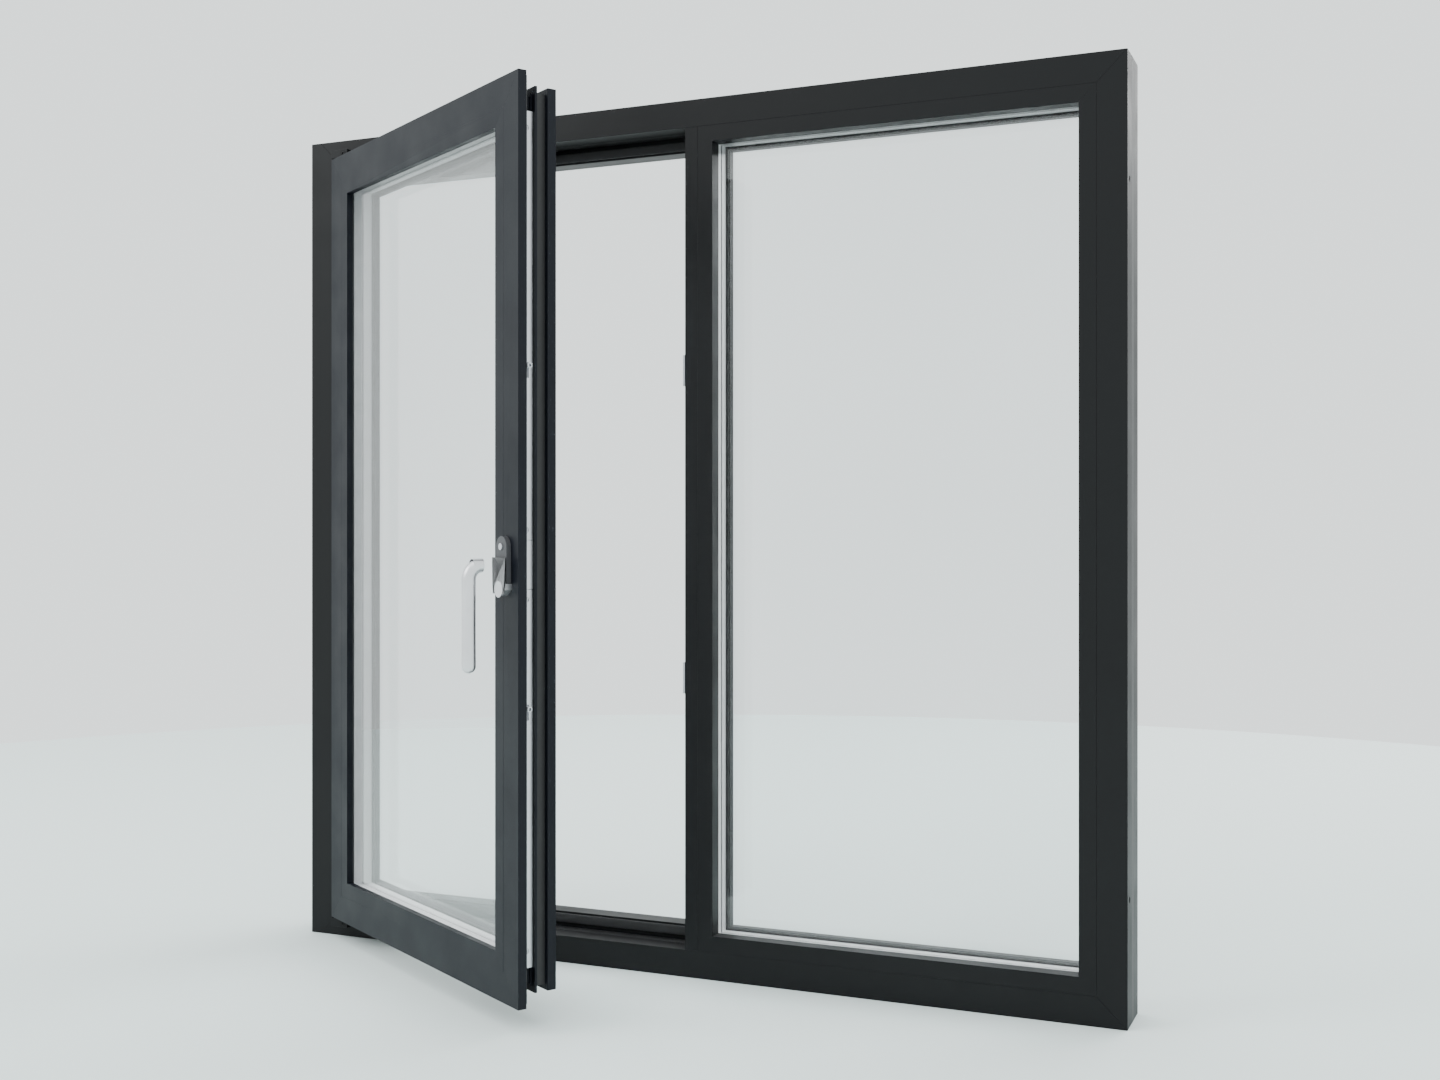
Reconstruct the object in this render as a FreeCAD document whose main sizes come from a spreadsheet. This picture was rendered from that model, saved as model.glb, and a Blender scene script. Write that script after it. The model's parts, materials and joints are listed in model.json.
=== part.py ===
import math
import os

import FreeCAD
import Part
import Sketcher

# Casement window: a fixed light and an inward-opening casement in one aluminium frame.
# +X runs to the right seen from the room, +Y to the outside, +Z up.
# The origin is the middle of the sill's underside, at half the frame's depth.

SIZES = {
    # outer frame
    "frame_width": 1170,
    "frame_height": 1150,
    "frame_depth": 75,
    "frame_face": 36,        # from the outer edge to the rebate wall
    "hinge_extra": 16,       # how much wider the hinge jamb is, on its outer side
    "glass_rebate": 21,      # height of every lip and glazing bead
    "mullion_place": 600,    # from the frame's left edge to the mullion's wall
    "mullion_body": 18,
    "shell_wall": 2,
    "inner_shell": 30,       # depth of the frame's inner shells
    "outer_shell": 29,       # depth of the frame's outer shells
    "frame_lip": 11.5,
    "centre_seal": 4.1,      # depth of the seal between the stops and the sash
    # sash
    "sash_overlap": 7,
    "sash_gap": 3.5,
    "sash_body": 36.5,       # from the flange's edge to the glass rebate
    "sash_depth": 57.5,
    "flange_depth": 11,
    "body_inset": 12.5,
    "seat_inset": 20,
    "channel_inset": 23,
    "groove_width": 18,
    "channel_width": 14,
    "ridge_depth": 3,
    "sash_bead": 8,
    "lip_step": 5,           # how much deeper the sash's outer shell is than its lip
    "open_angle": 30.9,
    # glass
    "pane": 4,
    "pane_gap": 12.5,
    "gasket": 3,
    "gasket_width": 5,
    "block": 5,
    "block_length": 100,
    "spacer_width": 7,
    "sealant_width": 5,
    "edge_set_back": 1,      # how far gaskets and breaks stay back from an edge
    # thermal breaks and cleats
    "break_wall": 2.5,
    "cleat_arm": 70,
    "cleat_play": 0.3,
    # seals
    "seal_play": 0.4,
    "seal_width": 12,
    "flange_seal_inset": 4,
    "flange_seal_width": 3,
    # pivots
    "pivot_inset": 5.5,
    "pin_dia": 4,
    "pin_play": 0.02,
    "bush_dia": 6.9,
    "bush_length": 12,
    "bracket_width": 14,
    "bracket_height": 12,
    "bracket_play": 1,
    "hole_play": 0.1,
    "screw_dia": 4,
    "screw_head": 8,
    "screw_head_depth": 3,
    "sink_depth": 3,
    # lock gear
    "handle_height": 545,
    "tooth_count": 12,
    "tooth_module": 1,
    "gear_width": 10,
    "gear_room": 0.5,        # around the gear inside its case
    "hub_dia": 11,
    "spindle_square": 7,
    "case_height": 84,
    "case_depth": 16,
    "case_wall": 0.6,
    "plate_thick": 2.5,
    "plate_end": 42,
    "bar_thick": 2.6,
    "bar_width": 13,
    "bar_end": 110,
    "rack_back": 0.5,        # between the rack's roots and the flat bar
    "slot_play": 0.5,        # around a screw's shank in the lock bar
    "cam_dia": 7,
    "cam_low": 376,
    "cam_high": 779,
    "cover_reach": 29,       # half the height of the faceplate's piece over the gearbox
    "joint_gap": 0.4,
    "plate_screw": 20,       # from the faceplate's end to its screw
    "cover_screw": 12,       # from the gearbox piece's end to the next screw
    "plate_head": 6.8,
    "plate_shank": 3.8,
    "cam_face": 0.8,         # between a cam's end and the flange's edge line
    "keeper_reach": 2.5,
    "keeper_height": 30,
    "keeper_hook": 3,
    "keeper_foot": 8,
    "keeper_screw": 6,       # from a foot's end to its screw
    "keeper_gap": 0.3,       # between a cam and its keeper
    "play": 0.2,
    # handle
    "rose_width": 30,
    "rose_height": 72,
    "rose_depth": 10,
    "rose_wall": 2,
    "rose_screw": 21.6,      # from the spindle to each screw
    "rose_screw_dia": 4.9,
    "rose_screw_hole": 5.2,
    "rose_head_depth": 1.6,
    "rose_screw_reach": 9,
    "neck_dia": 15.5,
    "grip_dia": 16.5,
    "grip_stand": 38,
    "lever_length": 125,
    # fixings
    "anchor_hole": 7.5,
    "anchor_end": 150,
    "drain_width": 42,
    "drain_height": 14,
    "drain_depth": 4,
    "drain_wall": 2,
    "through": 1,            # how far a cutting tool stands out of what it cuts
}

# Tooth shape, as multiples of the module
ROOT_HALF = 0.81
TIP_HALF = 0.24
TIP_REACH = 0.8
TOOTH_FOOT = 0.4     # how deep a pinion tooth reaches into the gear's core
RACK_TIP = 0.35
RACK_FOOT = 0.3      # how deep a rack tooth reaches into its strip

doc = FreeCAD.newDocument("CasementWindow")
sheet = doc.addObject("Spreadsheet::Sheet", "Sizes")
for row, (alias, size) in enumerate(SIZES.items(), start=1):
    sheet.set(f"A{row}", alias)
    sheet.set(f"B{row}", str(size))
    sheet.setAlias(f"B{row}", alias)
doc.recompute()

made = []


def e(text):
    """An expression in which every size name refers to the sheet."""
    words = text.replace("(", " ( ").replace(")", " ) ").split()
    bound = " ".join(f"Sizes.{word}" if word in SIZES else word for word in words)
    return bound.replace("cos (", "cos(").replace("sin (", "sin(")


def value(text):
    return float(sheet.evalExpression(e(text)))


# Places and lengths that follow from the sizes above
LEFT = "( - frame_width / 2 )"
ROOM = "( - frame_depth / 2 )"
LIP_EDGE = "( frame_face + glass_rebate )"
JAMB_WALL = f"( {LEFT} + hinge_extra + frame_face )"
MULLION_WALL = f"( {LEFT} + mullion_place )"
FIXED_WALL = f"( {MULLION_WALL} + mullion_body )"
LOCK_WALL = "( frame_width / 2 - frame_face )"
SASH_WIDTH = f"( {MULLION_WALL} - {JAMB_WALL} + 2 * sash_overlap )"
SASH_HEIGHT = "( frame_height - 2 * frame_face + 2 * sash_overlap )"
SASH_FRONT = f"( {ROOM} - sash_gap - flange_depth )"
PIVOT_X = f"( {JAMB_WALL} - sash_overlap + pivot_inset )"
PIVOT_Y = f"( {SASH_FRONT} + pivot_inset )"
SASH_SIDE = "( - pivot_inset )"
SASH_BOTTOM = "( frame_face - sash_overlap )"
UNIT_DEPTH = "( 3 * pane + 2 * pane_gap )"
GROOVE_END = "( flange_depth + groove_width )"
CHANNEL_START = "( flange_depth + ( groove_width - channel_width ) / 2 )"
BREAK_START = "( flange_depth + groove_width + ridge_depth )"
FREE_EDGE = f"( {SASH_WIDTH} - pivot_inset )"
SASH_LIP = f"( sash_depth - sash_bead - 2 * gasket - {UNIT_DEPTH} )"
SASH_OUTER = f"( {SASH_LIP} + lip_step )"
BREAK_GAP = f"( sash_depth - {SASH_OUTER} - {BREAK_START} )"
STOP_FACE = "( sash_depth - flange_depth - sash_gap + seal_play + centre_seal )"
STOP_DEPTH = f"( frame_depth - frame_lip - {STOP_FACE} )"
FIXED_BEAD = f"( frame_depth - frame_lip - 2 * gasket - {UNIT_DEPTH} )"
PITCH_RADIUS = "( tooth_count * tooth_module / 2 )"
ROOT_DEPTH = "( 1.2 * tooth_module )"
BAR_START = "( seat_inset + play )"
BAR_BACK = f"( {BAR_START} + bar_thick )"
RACK_LINE = f"( {BAR_BACK} + rack_back + {ROOT_DEPTH} )"
SPINDLE_INSET = f"( {RACK_LINE} + {PITCH_RADIUS} )"
CASE_REACH = (f"( {SPINDLE_INSET} + {PITCH_RADIUS} + tooth_module + gear_room + case_wall"
              " - channel_inset )")
BAR_TRAVEL = f"( {PITCH_RADIUS} * pi / 2 )"
GEAR_MIDDLE = "( flange_depth + groove_width / 2 )"
CAM_HEIGHTS = ("cam_low", "cam_high")
GEAR_Y = f"( {SASH_SIDE} + {GEAR_MIDDLE} )"


def bind(obj, **sizes):
    """Bind properties of an object to expressions."""
    for name, text in sizes.items():
        setattr(obj, name, value(text))
        obj.setExpression(name, e(text))


def seat(obj, x, y, z, turn=None, on_sash=False):
    """Give an object its place; pieces of the sash are given about the pivot axis of the closed sash."""
    turn = turn or FreeCAD.Rotation()
    if on_sash:
        swing = FreeCAD.Rotation(FreeCAD.Vector(0, 0, 1), -value("open_angle"))
        turn = swing.multiply(turn)
        x, y = (f"( {PIVOT_X} + {x} * cos( open_angle ) + {y} * sin( open_angle ) )",
                f"( {PIVOT_Y} - {x} * sin( open_angle ) + {y} * cos( open_angle ) )")
    obj.Placement = FreeCAD.Placement(FreeCAD.Vector(value(x), value(y), value(z)), turn)
    obj.setExpression("Placement.Base.x", e(x))
    obj.setExpression("Placement.Base.y", e(y))
    obj.setExpression("Placement.Base.z", e(z))


def keep(obj, label):
    """Count an object as one of the window's sub-parts."""
    obj.Label = label
    made.append(obj)
    return obj


def turned(axis, angle):
    return FreeCAD.Rotation(FreeCAD.Vector(*axis), angle)


def box(x, y, z, width, depth, height):
    shape = doc.addObject("Part::Box", "Box")
    bind(shape, Length=width, Width=depth, Height=height)
    seat(shape, x, y, z)
    return shape


def rod(x, y, z, dia, length, axis=(0, 0, 1)):
    """A cylinder that starts at a point and runs along an axis."""
    shape = doc.addObject("Part::Cylinder", "Rod")
    bind(shape, Radius=f"( {dia} ) / 2", Height=length)
    seat(shape, x, y, z, FreeCAD.Rotation(FreeCAD.Vector(0, 0, 1), FreeCAD.Vector(*axis)))
    return shape


def cut(base, tool):
    shape = doc.addObject("Part::Cut", "Cut")
    shape.Base = base
    shape.Tool = tool
    return shape


def fuse(*shapes):
    shape = doc.addObject("Part::MultiFuse", "Fuse")
    shape.Shapes = list(shapes)
    shape.Refine = True
    return shape


def group(*shapes):
    """Separate solids that share one node."""
    shape = doc.addObject("Part::Compound", "Group")
    shape.Links = list(shapes)
    return shape


def plane(body, role):
    return next(part for part in body.Origin.OriginFeatures if part.Role == role)


def outline(sketch, points):
    """A closed outline whose corners are all bound to the sheet."""
    corners = [FreeCAD.Vector(value(x), value(y), 0) for x, y in points]
    first = sketch.GeometryCount
    count = len(corners)
    lines = [Part.LineSegment(corners[i], corners[(i + 1) % count]) for i in range(count)]
    sketch.addGeometry(lines, False)
    for i in range(count):
        sketch.addConstraint(Sketcher.Constraint("Coincident", first + i, 2, first + (i + 1) % count, 1))
    for i, point in enumerate(points):
        for kind, text in zip(("DistanceX", "DistanceY"), point):
            number = sketch.addConstraint(
                Sketcher.Constraint(kind, -1, 1, first + i, 1, value(text)))
            sketch.setExpression(f"Constraints[{number}]", e(text))


def sketch_on(body, role, *outlines):
    sketch = body.newObject("Sketcher::SketchObject", "Section")
    sketch.AttachmentSupport = (plane(body, role), "")
    sketch.MapMode = "FlatFace"
    for points in outlines:
        outline(sketch, points)
    return sketch


def rect(x0, y0, x1, y1):
    return [(x0, y0), (x1, y0), (x1, y1), (x0, y1)]


def pocket(body, sketch, length=None):
    """Cut a sketch out of a body on both sides of its plane."""
    before = body.Shape.Volume
    hole = body.newObject("PartDesign::Pocket", "Pocket")
    hole.Profile = sketch
    hole.Midplane = True
    if length:
        hole.Type = 0
        bind(hole, Length=length)
    else:
        hole.Type = 1
    doc.recompute()
    if body.Shape.Volume >= before:
        raise ValueError(f"the pocket in {body.Name} cuts nothing")


def bar(length, *outlines):
    """A straight extrusion along Z, centred on its length."""
    body = doc.addObject("PartDesign::Body", "Bar")
    sketch = sketch_on(body, "XY_Plane", *outlines)
    pad = body.newObject("PartDesign::Pad", "Pad")
    pad.Profile = sketch
    pad.Midplane = True
    bind(pad, Length=length)
    doc.recompute()
    return body


def mitre(body, length, start="0", width="200"):
    """Cut both ends of a bar at 45 degrees, from its outer corner inwards."""
    half = f"( {length} / 2 )"
    reach = f"( {half} - ( {width} ) )"
    high = [(start, half), (f"{start} + {width}", half), (f"{start} + {width}", reach)]
    low = [(x, f"( - {z} )") for x, z in high]
    pocket(body, sketch_on(body, "XZ_Plane", high, low))


def member(length, outlines, mitre_start="0"):
    body = bar(length, *outlines)
    mitre(body, length, mitre_start)
    return body


# A ring's four sides: the turn about Y, and which length each takes
SIDES = {"sill": -90, "head": 90, "left": 0, "right": 180}
SIGNS = ("1", "( - 1 )")


def side_place(side, left, bottom, width, height):
    """Where the middle of one side's outer edge lies."""
    return {
        "sill": (f"( {left} + {width} / 2 )", bottom),
        "head": (f"( {left} + {width} / 2 )", f"( {bottom} + {height} )"),
        "left": (left, f"( {bottom} + {height} / 2 )"),
        "right": (f"( {left} + {width} )", f"( {bottom} + {height} / 2 )"),
    }[side]


def side_length(side, width, height):
    return width if side in ("sill", "head") else height


def ring_side(side, outlines, left, depth, bottom, width, height, on_sash=False):
    """One mitred side of a ring of extrusions."""
    body = member(side_length(side, width, height), outlines)
    x, z = side_place(side, left, bottom, width, height)
    seat(body, x, depth, z, turned((0, 1, 0), SIDES[side]), on_sash)
    return body


def ring(left, depth, bottom, width, height, bar_width, thick):
    """A closed rectangular ring of one piece, such as a seal or a spacer."""
    whole = box(left, depth, bottom, width, thick, height)
    window = box(f"( {left} + {bar_width} )", f"( {depth} - 1 )", f"( {bottom} + {bar_width} )",
                 f"( {width} - 2 * {bar_width} )", f"( {thick} + 2 )",
                 f"( {height} - 2 * {bar_width} )")
    return cut(whole, window)


# ---------------------------------------------------------------- outer frame

def frame_inner_outline(edge="0"):
    wall = "shell_wall"
    return (rect(edge, "0", "frame_face", "inner_shell"),
            rect(f"{edge} + {wall}", wall, f"frame_face - {wall}", f"inner_shell - {wall}"))


def frame_outer_outline(edge="0"):
    wall = "shell_wall"
    front = "frame_depth - outer_shell"
    lip = "frame_depth - frame_lip"
    body = [(edge, front), ("frame_face", front), ("frame_face", lip), (LIP_EDGE, lip),
            (LIP_EDGE, "frame_depth"), (edge, "frame_depth")]
    hollow = rect(f"{edge} + {wall}", f"{front} + {wall}", f"frame_face - {wall}",
                  f"frame_depth - {wall}")
    return body, hollow


def frame_shells():
    """Eight mitred shells; the hinge jamb is wider on its outer side."""
    left = f"( {LEFT} + hinge_extra )"
    width = "( frame_width - hinge_extra )"
    names = {"sill": "sill", "head": "head", "left": "hinge_jamb", "right": "lock_jamb"}
    for side, name in names.items():
        edge = "( - hinge_extra )" if side == "left" else "0"
        for shell, outlines in (("inner", frame_inner_outline(edge)),
                                ("outer", frame_outer_outline(edge))):
            body = ring_side(side, outlines, left, ROOM, "0", width, "frame_height")
            if shell == "inner" and side in ("left", "right"):
                anchor_holes(body)
            keep(body, f"{name}_{shell}")


def anchor_holes(body):
    """Two holes right through a jamb for the screws that hold it in the wall."""
    sketch = sketch_on(body, "YZ_Plane")
    for sign in (1, -1):
        height = f"{sign} * ( frame_height / 2 - anchor_end )"
        circle(sketch, "inner_shell / 2", height, "anchor_hole")
    pocket(body, sketch)


def circle(sketch, x, y, dia):
    centre = FreeCAD.Vector(value(x), value(y), 0)
    number = sketch.addGeometry(Part.Circle(centre, FreeCAD.Vector(0, 0, 1), value(dia) / 2), False)
    for kind, text in (("DistanceX", x), ("DistanceY", y)):
        place = sketch.addConstraint(Sketcher.Constraint(kind, -1, 1, number, 3, value(text)))
        sketch.setExpression(f"Constraints[{place}]", e(text))
    size = sketch.addConstraint(Sketcher.Constraint("Diameter", number, value(dia)))
    sketch.setExpression(f"Constraints[{size}]", e(dia))


def mullion():
    """Two shells between the sill and the head, with a lip on each side outside."""
    wall = "shell_wall"
    length = "( frame_height - 2 * frame_face )"
    inner = bar(length, rect("0", "0", "mullion_body", "inner_shell"),
                rect(wall, wall, f"mullion_body - {wall}", f"inner_shell - {wall}"))
    front = "frame_depth - outer_shell"
    lip = "frame_depth - frame_lip"
    near = "( - glass_rebate )"
    far = "( mullion_body + glass_rebate )"
    outer = bar(length,
                [("0", front), ("mullion_body", front), ("mullion_body", lip), (far, lip),
                 (far, "frame_depth"), (near, "frame_depth"), (near, lip), ("0", lip)],
                rect(wall, f"{front} + {wall}", f"mullion_body - {wall}", f"frame_depth - {wall}"))
    high = [(lip, "frame_height"), (lip, f"{length} / 2 - glass_rebate"),
            ("frame_depth + 1", f"{length} / 2 - glass_rebate"), ("frame_depth + 1", "frame_height")]
    low = [(y, f"( - ( {z} ) )") for y, z in high]
    pocket(outer, sketch_on(outer, "YZ_Plane", high, low))
    for body, name in ((inner, "mullion_inner"), (outer, "mullion_outer")):
        seat(body, MULLION_WALL, ROOM, "frame_height / 2")
        keep(body, name)


def frame_breaks():
    """Polyamide strips that join the shells: one ring at the wall side, one at the rebate side."""
    left = f"( {LEFT} + hinge_extra )"
    width = "( frame_width - hinge_extra )"
    depth = f"( {ROOM} + inner_shell )"
    gap = "( frame_depth - inner_shell - outer_shell )"
    strips = []
    for inset in ("0", "( frame_face - break_wall )"):
        strips.append(ring(f"( {left} + {inset} )", depth, inset, f"( {width} - 2 * {inset} )",
                           f"( frame_height - 2 * {inset} )", "break_wall", gap))
    for place in ("0", "( mullion_body - break_wall )"):
        strips.append(box(f"( {MULLION_WALL} + {place} )", depth, "frame_face", "break_wall", gap,
                          "( frame_height - 2 * frame_face )"))
    keep(group(*strips), "frame_thermal_breaks")


def corner_cleat(side_x, side_z, arm, thick, deep):
    """An L-shaped cleat; the signs say which way its arms run."""
    across = box("0" if side_x > 0 else f"( - {arm} )", "0",
                 "0" if side_z > 0 else f"( - {thick} )", arm, deep, thick)
    upright = box("0" if side_x > 0 else f"( - {thick} )", "0",
                  "0" if side_z > 0 else f"( - {arm} )", thick, deep, arm)
    return fuse(across, upright)


def frame_cleats():
    """Cleats pressed into the inner shells, one in each corner."""
    inset = "( shell_wall + cleat_play )"
    thick = "( frame_face - 2 * shell_wall - 2 * cleat_play )"
    deep = "( inner_shell - 2 * shell_wall - 2 * cleat_play )"
    cleats = []
    for side_x, x in ((1, f"( {LEFT} + hinge_extra + {inset} )"), (-1, f"( frame_width / 2 - {inset} )")):
        for side_z, z in ((1, inset), (-1, f"( frame_height - {inset} )")):
            cleat = corner_cleat(side_x, side_z, "cleat_arm", thick, deep)
            seat(cleat, x, f"( {ROOM} + {inset} )", z)
            cleats.append(cleat)
    keep(group(*cleats), "frame_corner_cleats")


def mullion_cleats():
    """Blocks in both ends of the mullion, against the sill and the head."""
    inset = "( shell_wall + cleat_play )"
    width = "( mullion_body - 2 * shell_wall - 2 * cleat_play )"
    deep = "( inner_shell - 2 * shell_wall - 2 * cleat_play )"
    blocks = [box(f"( {MULLION_WALL} + {inset} )", f"( {ROOM} + {inset} )", z, width, deep, "cleat_arm")
              for z in ("frame_face", "( frame_height - frame_face - cleat_arm )")]
    keep(group(*blocks), "mullion_cleats")


def stop_profiles():
    """Hollow stops that fill the opening light's rebate in front of the lip."""
    wall = "shell_wall"
    outlines = (rect("0", "0", "glass_rebate", STOP_DEPTH),
                rect(wall, wall, f"glass_rebate - {wall}", f"{STOP_DEPTH} - {wall}"))
    width = f"( {MULLION_WALL} - {JAMB_WALL} )"
    height = "( frame_height - 2 * frame_face )"
    depth = f"( {ROOM} + {STOP_FACE} )"
    bars = [ring_side(side, outlines, JAMB_WALL, depth, "frame_face", width, height) for side in SIDES]
    keep(group(*bars), "stop_profiles")


def centre_seal():
    """The seal on the stops that the closed sash presses against."""
    back = f"( {SASH_FRONT} + sash_depth + seal_play )"
    inset = "( body_inset - sash_overlap + edge_set_back )"
    keep(ring(f"( {JAMB_WALL} + {inset} )", back, f"( frame_face + {inset} )",
              f"( {MULLION_WALL} - {JAMB_WALL} - 2 * {inset} )",
              f"( frame_height - 2 * frame_face - 2 * {inset} )", "seal_width", "centre_seal"), "centre_seal")


def drain_caps():
    """Two caps over the drain slots outside on the sill."""
    caps = []
    for x in (f"( {JAMB_WALL} + anchor_end )", f"( {LOCK_WALL} - anchor_end - drain_width )"):
        cap = box(x, f"( {ROOM} + frame_depth )", "drain_height", "drain_width", "drain_depth",
                  "drain_height")
        hollow = box(f"( {x} + drain_wall )", f"( {ROOM} + frame_depth - through )",
                     "( drain_height - through )", "( drain_width - 2 * drain_wall )",
                     "( drain_depth + through - drain_wall )", "( drain_height + through - drain_wall )")
        caps.append(cut(cap, hollow))
    keep(group(*caps), "drain_caps")


# ---------------------------------------------------------------- glazing

def glazing(name, left, front, bottom, width, height, bead_depth, on_sash=False):
    """Beads, gaskets, blocks and a triple unit in a rebate whose walls are given."""
    wall = "shell_wall"
    bead = [rect("0", "0", "glass_rebate", bead_depth)]
    if value(f"{bead_depth} - 3 * {wall}") > 0:
        bead.append(rect(wall, wall, f"glass_rebate - {wall}", f"{bead_depth} - {wall}"))
    bars = [ring_side(side, bead, left, front, bottom, width, height) for side in SIDES]
    beads = group(*bars)
    seat(beads, "0", "0", "0", None, on_sash)
    keep(beads, f"{name}_glazing_beads")
    glass = f"( {front} + {bead_depth} + gasket )"
    glass_left = f"( {left} + block )"
    glass_bottom = f"( {bottom} + block )"
    glass_width = f"( {width} - 2 * block )"
    glass_height = f"( {height} - 2 * block )"
    step = "( pane + pane_gap )"
    for number, layer in enumerate(("inner", "middle", "outer")):
        sheet_of_glass = box("0", "0", "0", glass_width, "pane", glass_height)
        seat(sheet_of_glass, glass_left, f"( {glass} + {number} * {step} )", glass_bottom, None, on_sash)
        keep(sheet_of_glass, f"{name}_pane_{layer}")
    sealants = []
    spacers = []
    for number in range(2):
        depth = f"( {glass} + {number} * {step} + pane )"
        sealants.append(ring(glass_left, depth, glass_bottom, glass_width, glass_height,
                             "sealant_width", "pane_gap"))
        spacers.append(ring(f"( {glass_left} + sealant_width )", depth,
                            f"( {glass_bottom} + sealant_width )",
                            f"( {glass_width} - 2 * sealant_width )",
                            f"( {glass_height} - 2 * sealant_width )", "spacer_width", "pane_gap"))
    gasket_inset = "( glass_rebate - gasket_width - edge_set_back )"
    gaskets = []
    for depth in (f"( {glass} - gasket )", f"( {glass} + {UNIT_DEPTH} )"):
        gaskets.append(ring(f"( {left} + {gasket_inset} )", depth, f"( {bottom} + {gasket_inset} )",
                            f"( {width} - 2 * {gasket_inset} )", f"( {height} - 2 * {gasket_inset} )",
                            "gasket_width", "gasket"))
    blocks = [box(f"( {left} + {x} )", glass, bottom, "block_length", UNIT_DEPTH, "block")
              for x in ("block_length", f"( {width} - 2 * block_length )")]
    for label, shapes in (("edge_sealant", sealants), ("spacers", spacers),
                          ("glazing_gaskets", gaskets), ("setting_blocks", blocks)):
        pieces = group(*shapes)
        seat(pieces, "0", "0", "0", None, on_sash)
        keep(pieces, f"{name}_{label}")


# ---------------------------------------------------------------- sash

def sash_inner_outline():
    """The flange, the body and the hardware groove in its edge."""
    wall = "shell_wall"
    channel_end = "( flange_depth + ( groove_width + channel_width ) / 2 )"
    body = [("0", "0"), ("sash_body", "0"), ("sash_body", BREAK_START), ("body_inset", BREAK_START),
            ("body_inset", GROOVE_END), ("seat_inset", GROOVE_END), ("seat_inset", channel_end),
            ("channel_inset", channel_end), ("channel_inset", CHANNEL_START),
            ("seat_inset", CHANNEL_START), ("seat_inset", "flange_depth"), ("0", "flange_depth")]
    hollow = [(wall, wall), (f"sash_body - {wall}", wall),
              (f"sash_body - {wall}", f"{BREAK_START} - {wall}"),
              (f"channel_inset + {wall}", f"{BREAK_START} - {wall}"),
              (f"channel_inset + {wall}", f"flange_depth - {wall}"), (wall, f"flange_depth - {wall}")]
    return body, hollow


def sash_outer_outline():
    wall = "shell_wall"
    front = f"( sash_depth - {SASH_OUTER} )"
    lip = f"( sash_depth - {SASH_LIP} )"
    edge = "( sash_body + glass_rebate )"
    body = [("body_inset", front), ("sash_body", front), ("sash_body", lip), (edge, lip),
            (edge, "sash_depth"), ("body_inset", "sash_depth")]
    hollow = rect(f"body_inset + {wall}", f"{front} + {wall}", f"sash_body - {wall}",
                  f"sash_depth - {wall}")
    return body, hollow


def pivot_holes(body, ends):
    """Holes in a rail's edge for the bushes of the pivots."""
    sketch = sketch_on(body, "YZ_Plane")
    for sign in ends:
        circle(sketch, "pivot_inset", f"{sign} * ( {SASH_WIDTH} / 2 - pivot_inset )", "bush_dia + hole_play")
    pocket(body, sketch, "3 * shell_wall")


def gearbox_opening(body):
    """The pocket for the gearbox and the hole for the spindle in the lock stile."""
    middle = f"( {SASH_HEIGHT} / 2 - ( handle_height - {SASH_BOTTOM} ) )"
    start = f"( {GEAR_MIDDLE} - case_depth / 2 - play )"
    end = f"( {GEAR_MIDDLE} + case_depth / 2 + play )"
    half = "( case_height / 2 + play )"
    opening = rect(start, f"{middle} - {half}", end, f"{middle} + {half}")
    pocket(body, sketch_on(body, "YZ_Plane", opening))
    front = sketch_on(body, "XZ_Plane")
    circle(front, SPINDLE_INSET, middle, "spindle_square * 2")
    for sign in (1, -1):
        circle(front, SPINDLE_INSET, f"{middle} + {sign} * rose_screw", "rose_screw_hole")
    pocket(body, front, f"2 * ( {start} + through )")


def sash_shells():
    """Eight mitred shells of the sash."""
    names = {"sill": "sash_bottom_rail", "head": "sash_top_rail", "left": "sash_hinge_stile",
             "right": "sash_lock_stile"}
    for side, name in names.items():
        for shell, outlines in (("inner", sash_inner_outline()), ("outer", sash_outer_outline())):
            body = ring_side(side, outlines, SASH_SIDE, SASH_SIDE, SASH_BOTTOM, SASH_WIDTH,
                             SASH_HEIGHT, True)
            if shell == "inner" and side == "sill":
                pivot_holes(body, (1,))
            if shell == "inner" and side == "head":
                pivot_holes(body, (-1,))
            if shell == "inner" and side == "right":
                gearbox_opening(body)
            keep(body, f"{name}_{shell}")


def sash_ring(inset, depth, bar_width, thick):
    """A ring in the sash, set in from the flange's edge all round."""
    return ring(f"( {SASH_SIDE} + {inset} )", f"( {SASH_SIDE} + {depth} )",
                f"( {SASH_BOTTOM} + {inset} )", f"( {SASH_WIDTH} - 2 * {inset} )",
                f"( {SASH_HEIGHT} - 2 * {inset} )", bar_width, thick)


def sash_breaks():
    """Polyamide strips between the sash's shells."""
    places = ("( seat_inset - edge_set_back )", "( sash_body - edge_set_back - break_wall )")
    strips = group(*[sash_ring(place, BREAK_START, "break_wall", BREAK_GAP) for place in places])
    seat(strips, "0", "0", "0", None, True)
    keep(strips, "sash_thermal_breaks")


def sash_cleats():
    """Cleats in the body chambers of the sash's four corners, clear of the pivots."""
    inset = "( channel_inset + shell_wall + cleat_play )"
    thick = "( sash_body - channel_inset - 2 * shell_wall - 2 * cleat_play )"
    deep = f"( {BREAK_START} - flange_depth - shell_wall )"
    depth = f"( {SASH_SIDE} + flange_depth - cleat_play )"
    cleats = []
    for side_x, x in ((1, f"( {SASH_SIDE} + {inset} )"), (-1, f"( {FREE_EDGE} - {inset} )")):
        for side_z, z in ((1, f"( {SASH_BOTTOM} + {inset} )"),
                          (-1, f"( {SASH_BOTTOM} + {SASH_HEIGHT} - {inset} )")):
            cleat = corner_cleat(side_x, side_z, "cleat_arm", thick, deep)
            seat(cleat, x, depth, z)
            cleats.append(cleat)
    cleat_group = group(*cleats)
    seat(cleat_group, "0", "0", "0", None, True)
    keep(cleat_group, "sash_corner_cleats")


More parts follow.
